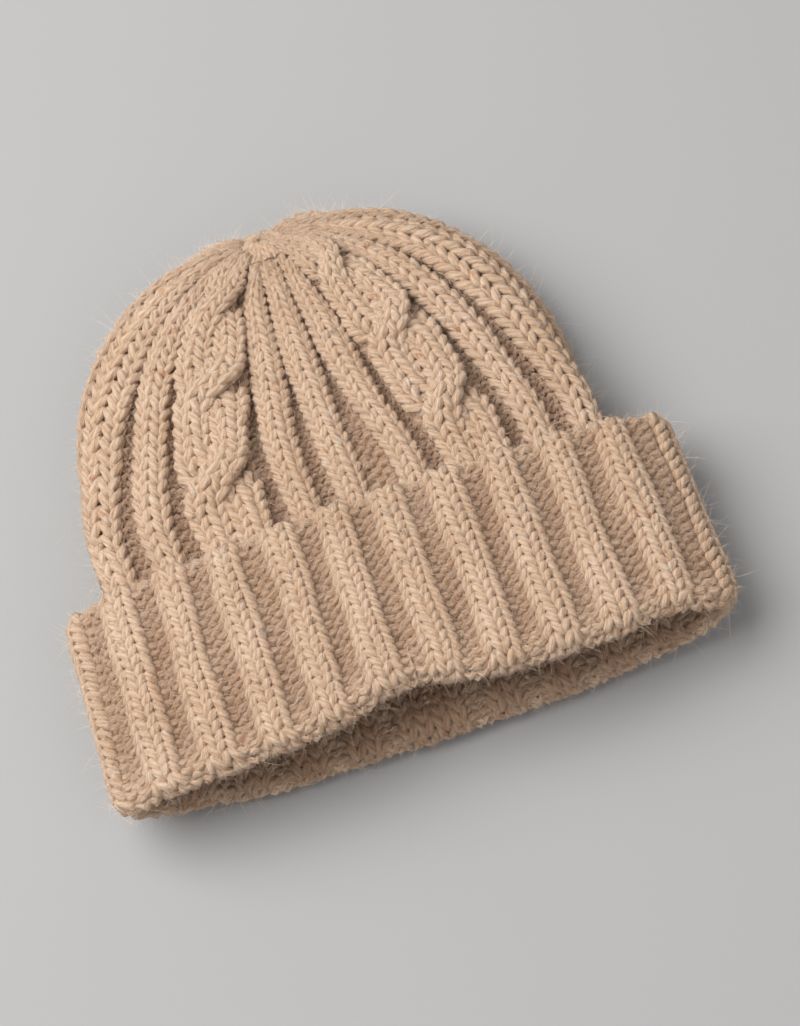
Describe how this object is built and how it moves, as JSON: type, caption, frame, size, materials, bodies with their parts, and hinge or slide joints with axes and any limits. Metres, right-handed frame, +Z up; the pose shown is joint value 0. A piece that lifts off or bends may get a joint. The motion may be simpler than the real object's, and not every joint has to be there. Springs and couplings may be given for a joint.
{
  "type": "knit beanie",
  "caption": "Chunky cable-knit wool beanie with a ribbed turn-up cuff, lying flat with its opening towards -Y.",
  "frame": {"origin": "under the middle of the lying hat, on the surface that it lies on", "axes": "+Z up, away from the surface; +Y from the opening to the crown; +X across the hat"},
  "size_m": [0.2498, 0.2215, 0.052],
  "materials": {
    "wool_knit": "chunky wool knit, oatmeal with tweed flecks, fuzzy",
    "edge_knit": "the same knit where it is cast on and folded",
    "joining_yarn": "the same wool yarn, drawn tight"
  },
  "bodies": {
    "root": {"back_seam_band": "joining_yarn", "back_seam_crown": "joining_yarn", "back_seam_cuff": "joining_yarn", "cable_back_left": "wool_knit", "cable_back_right": "wool_knit", "cable_front_left": "wool_knit", "cable_front_right": "wool_knit", "cast_on_edge": "edge_knit", "closing_yarn": "joining_yarn", "closing_yarn_tail": "joining_yarn", "crown_gather": "wool_knit", "crown_purl_back": "wool_knit", "crown_purl_front": "wool_knit", "crown_purl_left": "wool_knit", "crown_purl_right": "wool_knit", "crown_rib_01": "wool_knit", "crown_rib_02": "wool_knit", "crown_rib_03": "wool_knit", "crown_rib_04": "wool_knit", "crown_rib_05": "wool_knit", "crown_rib_06": "wool_knit", "crown_rib_07": "wool_knit", "crown_rib_08": "wool_knit", "crown_rib_09": "wool_knit", "crown_rib_10": "wool_knit", "crown_rib_11": "wool_knit", "crown_rib_12": "wool_knit", "crown_rib_13": "wool_knit", "cuff_purl_back": "wool_knit", "cuff_purl_front": "wool_knit", "cuff_rib_01": "wool_knit", "cuff_rib_02": "wool_knit", "cuff_rib_03": "wool_knit", "cuff_rib_04": "wool_knit", "cuff_rib_05": "wool_knit", "cuff_rib_06": "wool_knit", "cuff_rib_07": "wool_knit", "cuff_rib_08": "wool_knit", "cuff_rib_09": "wool_knit", "cuff_rib_10": "wool_knit", "cuff_rib_11": "wool_knit", "cuff_rib_12": "wool_knit", "cuff_rib_13": "wool_knit", "cuff_rib_14": "wool_knit", "cuff_rib_15": "wool_knit", "cuff_rib_16": "wool_knit", "cuff_rib_17": "wool_knit", "cuff_rib_18": "wool_knit", "cuff_rib_19": "wool_knit", "cuff_rib_20": "wool_knit", "cuff_rib_21": "wool_knit", "inner_band_back": "wool_knit", "inner_band_front": "wool_knit", "inner_band_left": "wool_knit", "inner_band_right": "wool_knit", "turn_up_fold": "edge_knit"}
  },
  "joints": []
}
